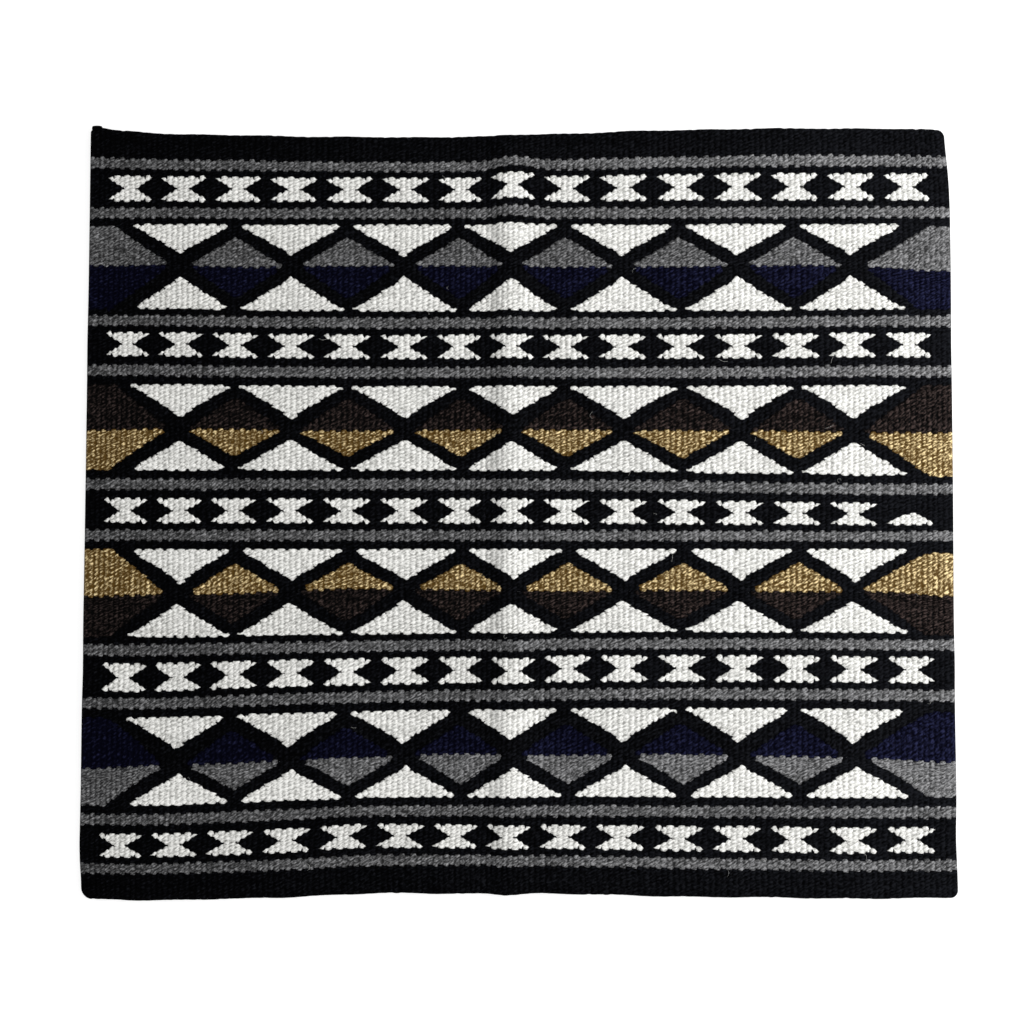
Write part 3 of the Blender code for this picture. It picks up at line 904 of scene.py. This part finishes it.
def half_triangle_band(half_number, upper, base, point, drift, diamond_height, left_diamond, right_diamond):
    """The pattern of a half band: the yarn of a stitch, and the passes down to the nearest slanted side in it.

    The ground is 0, the diamond's yarn 1 and white 2. A triangle's side rises evenly from its point to its base,
    with the point drawn out over the last column, and a diamond's side falls evenly from its middle to its tip.
    For a turn of 1 only the sides with the paler yarn above them count, and for -1 only those with it below.
    """

    def distances(column):
        """Columns from the middle of the nearest triangle, of the nearest diamond, and from the side edge."""
        nearest = (column - FIRST_TRIANGLE + TRIANGLE_COLUMNS / 2) // TRIANGLE_COLUMNS
        place = np.clip(nearest, 0, TRIANGLES_ACROSS - 1).astype(int)
        from_triangle = np.abs(column - FIRST_TRIANGLE - place * TRIANGLE_COLUMNS - drift)
        from_diamond = np.abs((column - FIRST_TRIANGLE - drift) % TRIANGLE_COLUMNS - TRIANGLE_COLUMNS / 2)
        from_edge = np.minimum(column, WARPS - 1 - column)
        return from_triangle - triangle_slack[half_number, place], from_diamond, from_edge

    def triangle_side(from_triangle):
        """Passes from the middle of the band to a triangle's side, by the distance from the triangle's middle."""
        slant = point + np.maximum(from_triangle, 0) / TRIANGLE_REACH * (base - point)
        return slant - POINT_DRAWN * np.clip(1 - from_triangle, 0, 1)

    def edge_diamond_shape(column):
        """Reach, slope and top of the half diamond on the column's own side."""
        return [np.where(column < WARPS / 2, *pair) for pair in zip(left_diamond, right_diamond)]

    def yarn_of(column, along):
        from_middle = HALF_BAND - along if upper else along
        from_triangle, from_diamond, from_edge = distances(column)
        side = triangle_side(from_triangle)
        tip = (base - from_middle < TIP_PASSES) & (base - side > TIP_LENGTH)
        white = (from_middle <= base) & ((from_middle >= side) | tip)
        diamond = from_diamond <= DIAMOND_REACH * (1 - from_middle / diamond_height)
        reach, slope, top = edge_diamond_shape(column)
        edge_diamond = (from_edge <= reach - slope * from_middle) & (from_middle < top)
        coloured = np.where(from_edge < EDGE_COLUMNS, edge_diamond, diamond)
        return np.where(white, 2, coloured.astype(int))

    def slope_near(column, along, turn=0):
        from_triangle, from_diamond, from_edge = distances(column)
        reach, slope, top = edge_diamond_shape(column)
        by_edge = from_edge < EDGE_COLUMNS
        edge_side = (reach - from_edge) / slope
        nearest = np.full(np.broadcast(column, along).shape, NOWHERE_NEAR)
        for side, there, paler in (
            (triangle_side(from_triangle), from_triangle < TRIANGLE_REACH, 1),
            (diamond_height * (1 - from_diamond / DIAMOND_REACH), (from_diamond < DIAMOND_REACH) & ~by_edge, -1),
            (edge_side, (from_edge < reach) & by_edge & (edge_side < top), -1),
        ):
            away = (HALF_BAND - side if upper else side) - along
            fits = (turn == 0) | (turn == (paler if upper else -paler))
            nearest = np.where(there & fits & (np.abs(away) < np.abs(nearest)), away, nearest)
        return nearest

    return yarn_of, slope_near


# The yarns of the diamonds, each with its slot and its rank, from the top band down
grey, navy = ("grey_wool", grey_wool, 2), ("navy_wool", navy_wool, 1)
brown, gold = ("brown_wool", brown_wool, 1), ("gold_wool", gold_wool, 2)
for n, pair in enumerate(((grey, navy), (brown, gold), (gold, brown), (navy, grey)), start=1):
    for k, (half, (slot_name, coloured, rank)) in enumerate(zip(("upper", "lower"), pair)):
        pattern = half_triangle_band(2 * n + k, half == "upper", *HALF_BANDS[n, half])
        yarns = [black_wool, coloured, white_wool]
        band = woven(f"triangle_band_{n}_{half}", slot_name, yarns, (0, rank, WHITE_RANK), *pattern)

# The knot. The end cord's tail is tied off at the top left corner in an overhand knot of black wool. Its path is
# a trefoil: one turn of a circle plus two turns of one twice as wide the other way, up and down three times.
KNOT_STRAND = 0.0031  # radius of the tail, pulled tight
KNOT_SIDES = 10
KNOT_POINTS = 160
KNOT_STRETCH = (1.5, 0.8, 1.0)  # of the loops, against the solid that they stand for
KNOT_SHIFT = (0.0008, -0.0006, 0)
knot_low, knot_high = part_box("left_end_knot")
knot_middle = np.array((knot_low + knot_high) / 2)
knot_half = (np.array((knot_high - knot_low) / 2) - KNOT_STRAND) * KNOT_STRETCH
lap = np.linspace(0, 2 * math.pi, KNOT_POINTS)
knot_path = np.stack(
    [(np.sin(lap) + 2 * np.sin(2 * lap)) / 3, (np.cos(lap) - 2 * np.cos(2 * lap)) / 3, -np.sin(3 * lap)], axis=1
)
knot_middle = lay(*knot_middle) + KNOT_SHIFT
knot_shape = swept(knot_middle + knot_path * knot_half, KNOT_STRAND, KNOT_SIDES)
knot = spun("end_knot", knot_shape, black_wool, "black_wool")
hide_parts("left_end_knot")
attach(knot, "left_half")

# Loose fibres. Short ends of black and of white wool that have worked out of the yarn lie about on the face, each
# a hair that arches out of the cloth and back into it.
FIBRES = {"black": (110, black_wool, "black_wool"), "white": (50, white_wool, "black_and_white_wool")}
FIBRE_STEPS = 7
FIBRE_SIDES = 4
FIBRE_FIELD = (0.47, 0.41)  # how far they lie from the middle of the blanket at most
FIBRE_LENGTHS = (0.004, 0.011)
FIBRE_RADII = (0.00006, 0.00011)
FIBRE_CURL = 1.1  # radians that a fibre turns through
FIBRE_SUNK = 0.0005  # depth of a fibre's ends in the cloth
FIBRE_ARCH = 0.0010
for shade, (count, finish, slot_name) in FIBRES.items():
    hairs = []
    for _ in range(count):
        across, along = (chance.uniform(-reach, reach) for reach in FIBRE_FIELD)
        length = chance.uniform(*FIBRE_LENGTHS)
        heading = chance.uniform(0, math.pi)
        curl = chance.normal(0, FIBRE_CURL)
        t = np.linspace(-0.5, 0.5, FIBRE_STEPS)
        bend = heading + curl * t
        hair_above = thickness - FIBRE_SUNK + FIBRE_ARCH * np.cos(math.pi * t)
        hair = lay(across + length * t * np.cos(bend), along + length * t * np.sin(bend), hair_above)
        hairs.append(swept(hair, chance.uniform(*FIBRE_RADII), FIBRE_SIDES))
    across_the_fold(spun(f"loose_{shade}_fibres", joined(hairs), finish, slot_name))

# The studio: a pale floor that shows as white, one broad lamp on the right and even light from all round. The
# camera stands a metre and a half above the blanket, a little towards its lower end.
CAMERA_DISTANCE = 1.53
CAMERA_TILT = math.radians(2.9)
CAMERA_LENS, CAMERA_SENSOR = 48.38, 36  # in millimetres
CAMERA_AIM = (-0.0067, -0.0033, 0.0075)
LAMP_PLACE = (1.5, 0.2, 1.05)
LAMP_TURN = (0, math.radians(55), math.radians(8))
LAMP_SIZE = (0.6, 1.5)
LAMP_POWER = 25  # watts
WORLD_LIGHT = 0.64  # that the world sheds on the blanket, where 1 is what the camera sees of it
FLOOR_COLOUR = (0.62, 0.62, 0.62, 1)
FLOOR_GLOW = (0.64, 0.64, 0.64, 1)  # added where the camera sees the floor, so that it shows as white
FLOOR_LEVEL = -0.0004
FLOOR_HALF = 6
floor = mesh_object(
    "floor",
    [(x * FLOOR_HALF, y * FLOOR_HALF, FLOOR_LEVEL) for x, y in ((-1, -1), (1, -1), (1, 1), (-1, 1))],
    np.array([[0, 1, 2, 3]]),
)
paper = bpy.data.materials.new("white_paper")
paper.use_nodes = True
paper_shader = paper.node_tree.nodes["Principled BSDF"]
paper_shader.inputs["Base Color"].default_value = FLOOR_COLOUR
paper_shader.inputs["Roughness"].default_value = 1.0
paper_shader.inputs["Specular IOR Level"].default_value = 0.0
seen = Tone(paper.node_tree).node("ShaderNodeLightPath", {}, {}, "Is Camera Ray")
glow = Tone(paper.node_tree).node(
    "ShaderNodeMix", {"data_type": "RGBA"}, {0: seen, 6: (0, 0, 0, 1), 7: FLOOR_GLOW}, 2
)
paper.node_tree.links.new(glow.socket, paper_shader.inputs["Emission Color"])
paper_shader.inputs["Emission Strength"].default_value = 1.0
floor.data.materials.append(paper)

world = bpy.data.worlds.new("studio")
bpy.context.scene.world = world
world.use_nodes = True
sky = world.node_tree
backdrop = sky.nodes["Background"]
backdrop.inputs["Color"].default_value = (1, 1, 1, 1)
straight = Tone(sky).node("ShaderNodeLightPath", {}, {}, "Is Camera Ray")
sky.links.new((straight * (1 - WORLD_LIGHT) + WORLD_LIGHT).socket, backdrop.inputs["Strength"])

lamp_data = bpy.data.lights.new("window_lamp", "AREA")
lamp_data.shape = "RECTANGLE"
lamp_data.size, lamp_data.size_y = LAMP_SIZE
lamp_data.energy = LAMP_POWER
lamp = placed("window_lamp", lamp_data)
lamp.location = LAMP_PLACE
lamp.rotation_euler = LAMP_TURN

camera_data = bpy.data.cameras.new("camera")
camera_data.lens = CAMERA_LENS
camera_data.sensor_width = CAMERA_SENSOR
camera = placed("camera", camera_data)
camera.location = (
    CAMERA_AIM[0],
    CAMERA_AIM[1] - CAMERA_DISTANCE * math.sin(CAMERA_TILT),
    CAMERA_AIM[2] + CAMERA_DISTANCE * math.cos(CAMERA_TILT),
)
camera.rotation_euler = (CAMERA_TILT, 0, 0)
bpy.context.scene.camera = camera
bpy.context.scene.view_settings.view_transform = "Standard"
